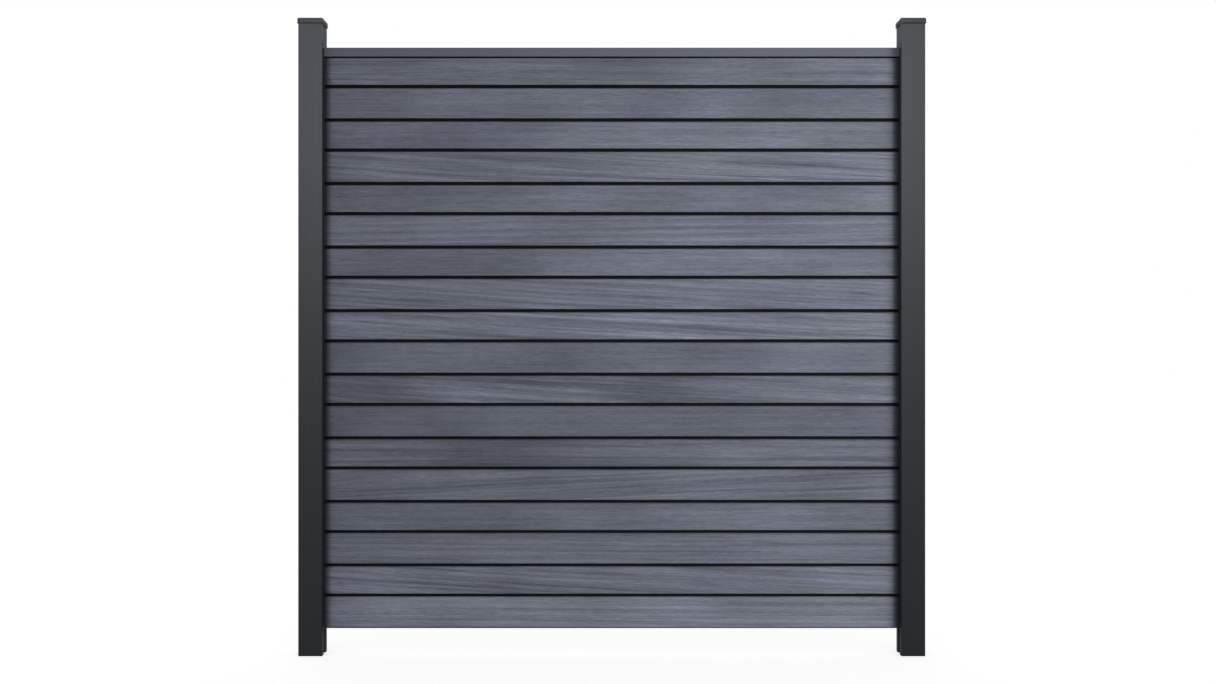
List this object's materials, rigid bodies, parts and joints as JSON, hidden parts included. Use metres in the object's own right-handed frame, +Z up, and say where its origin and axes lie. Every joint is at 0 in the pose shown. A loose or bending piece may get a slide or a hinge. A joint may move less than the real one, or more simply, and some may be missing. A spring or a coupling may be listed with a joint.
{
  "type": "garden privacy screen",
  "caption": "Garden privacy screen: hollow grooved composite boards stacked tongue in groove between channelled aluminium posts with caps, a start profile and a top rail.",
  "frame": {"origin": "on the ground, midway between the posts and midway across their depth", "axes": "+X along the screen towards its right end, -Y out of its front, +Z up"},
  "size_m": [1.966, 0.081, 1.995],
  "materials": {
    "post_coat": "satin anthracite powder coat on extruded aluminium",
    "rail_coat": "satin grey powder coat on extruded aluminium",
    "grey_composite": "blue-grey co-extruded skin embossed with wood grain",
    "black_rubber": "matt black extruded rubber",
    "stainless_steel": "brushed stainless steel"
  },
  "bodies": {
    "root": {"board_1": "grey_composite", "board_2": "grey_composite", "board_3": "grey_composite", "board_4": "grey_composite", "board_5": "grey_composite", "board_6": "grey_composite", "board_7": "grey_composite", "board_8": "grey_composite", "board_9": "grey_composite", "post_left": "post_coat", "post_cap_left": "post_coat", "channel_cover_left": "post_coat", "seal_left_front": "black_rubber", "seal_left_back": "black_rubber", "bracket_bottom_left": "stainless_steel", "screw_bottom_left_1": "stainless_steel", "screw_bottom_left_2": "stainless_steel", "bracket_top_left": "stainless_steel", "screw_top_left_1": "stainless_steel", "screw_top_left_2": "stainless_steel", "post_right": "post_coat", "post_cap_right": "post_coat", "channel_cover_right": "post_coat", "seal_right_front": "black_rubber", "seal_right_back": "black_rubber", "bracket_bottom_right": "stainless_steel", "screw_bottom_right_1": "stainless_steel", "screw_bottom_right_2": "stainless_steel", "bracket_top_right": "stainless_steel", "screw_top_right_1": "stainless_steel", "screw_top_right_2": "stainless_steel", "start_profile": "post_coat", "top_rail": "rail_coat"}
  },
  "joints": []
}
